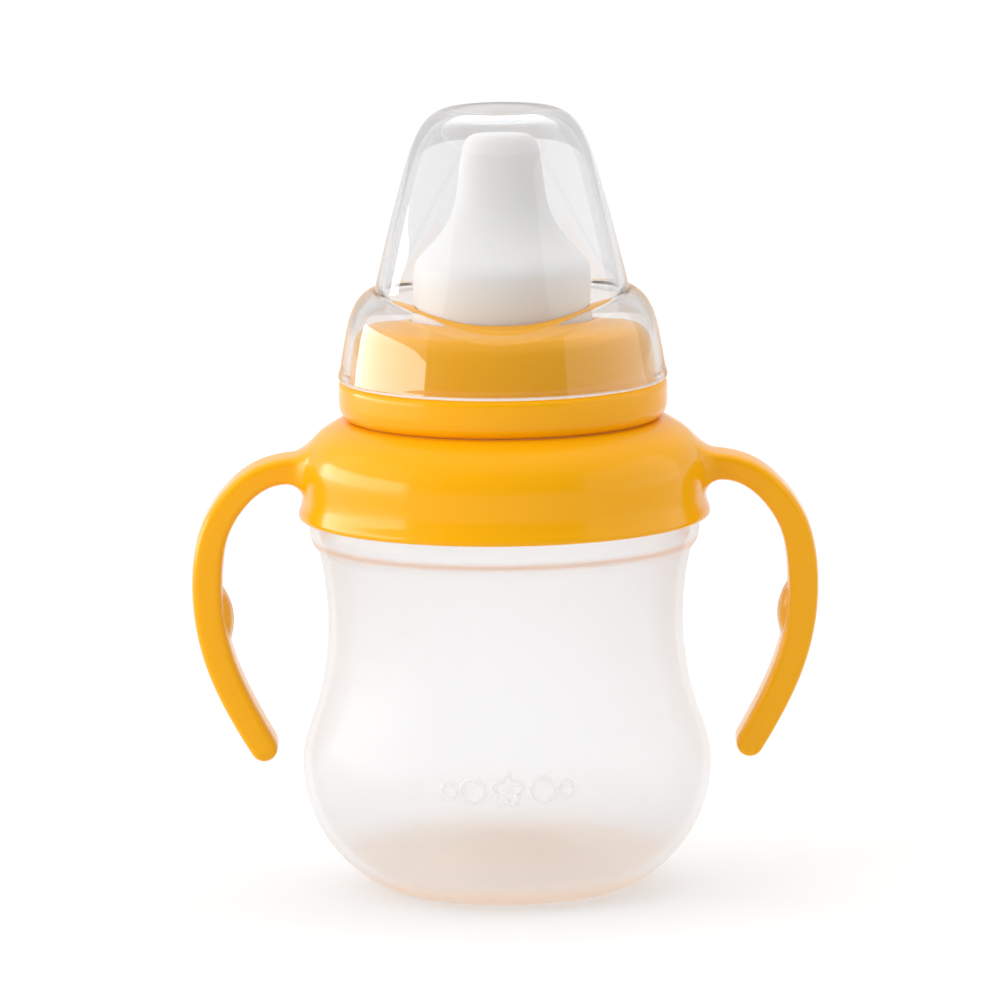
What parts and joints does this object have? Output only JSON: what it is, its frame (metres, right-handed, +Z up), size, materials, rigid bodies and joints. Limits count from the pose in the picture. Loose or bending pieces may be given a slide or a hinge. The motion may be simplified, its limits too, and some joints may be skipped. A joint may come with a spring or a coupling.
{
  "type": "sippy cup",
  "caption": "Two-handled training cup: translucent body, loose handle collar, screw cap, soft spout with slit valve, and clear hood.",
  "frame": {"origin": "centre of the cup's foot ring, on the surface it stands on", "axes": "+Z up along the cup's axis, X through the two handles, -Y towards the side drawn as the front"},
  "size_m": [0.1254, 0.0824, 0.1568],
  "materials": {
    "cup_body": "milky translucent polypropylene, smooth",
    "handle_ring": "glossy warm yellow",
    "screw_cap": "glossy warm yellow",
    "neck_gasket": "soft white silicone",
    "spout": "soft white silicone, satin",
    "spout_valve": "soft white silicone",
    "hood": "clear polished plastic"
  },
  "bodies": {
    "cup": {"cup_body": "cup_body"},
    "handles": {"handle_ring": "handle_ring"},
    "seal": {"neck_gasket": "neck_gasket"},
    "cap": {"screw_cap": "screw_cap"},
    "soft_spout": {"spout": "spout"},
    "valve": {"spout_valve": "spout_valve"},
    "clear_hood": {"hood": "hood"}
  },
  "joints": [
    {"name": "handle_swivel", "type": "hinge", "parent": "cup", "child": "handles", "pos_m": [0, 0, 0.085], "axis": [0, 0, 1], "continuous": true},
    {"name": "cap_lift", "type": "slide", "parent": "cup", "child": "seal", "axis": [0, 0, 1], "range_m": [0, 0.015]},
    {"name": "cap_turn", "type": "hinge", "parent": "seal", "child": "cap", "pos_m": [0, 0, 0.105], "axis": [0, 0, 1], "range_deg": [0, 1080]},
    {"name": "spout_pull", "type": "slide", "parent": "cap", "child": "soft_spout", "axis": [0, 0, -1], "range_m": [0, 0.042]},
    {"name": "valve_pull", "type": "slide", "parent": "soft_spout", "child": "valve", "axis": [0, 0, -1], "range_m": [0, 0.012]},
    {"name": "hood_lift", "type": "slide", "parent": "cap", "child": "clear_hood", "axis": [0, 0, 1], "range_m": [0, 0.056]}
  ],
  "couplings": [
    {"joint": "cap_lift", "follows": "cap_turn", "m_per_rad": 0.00079577}
  ]
}
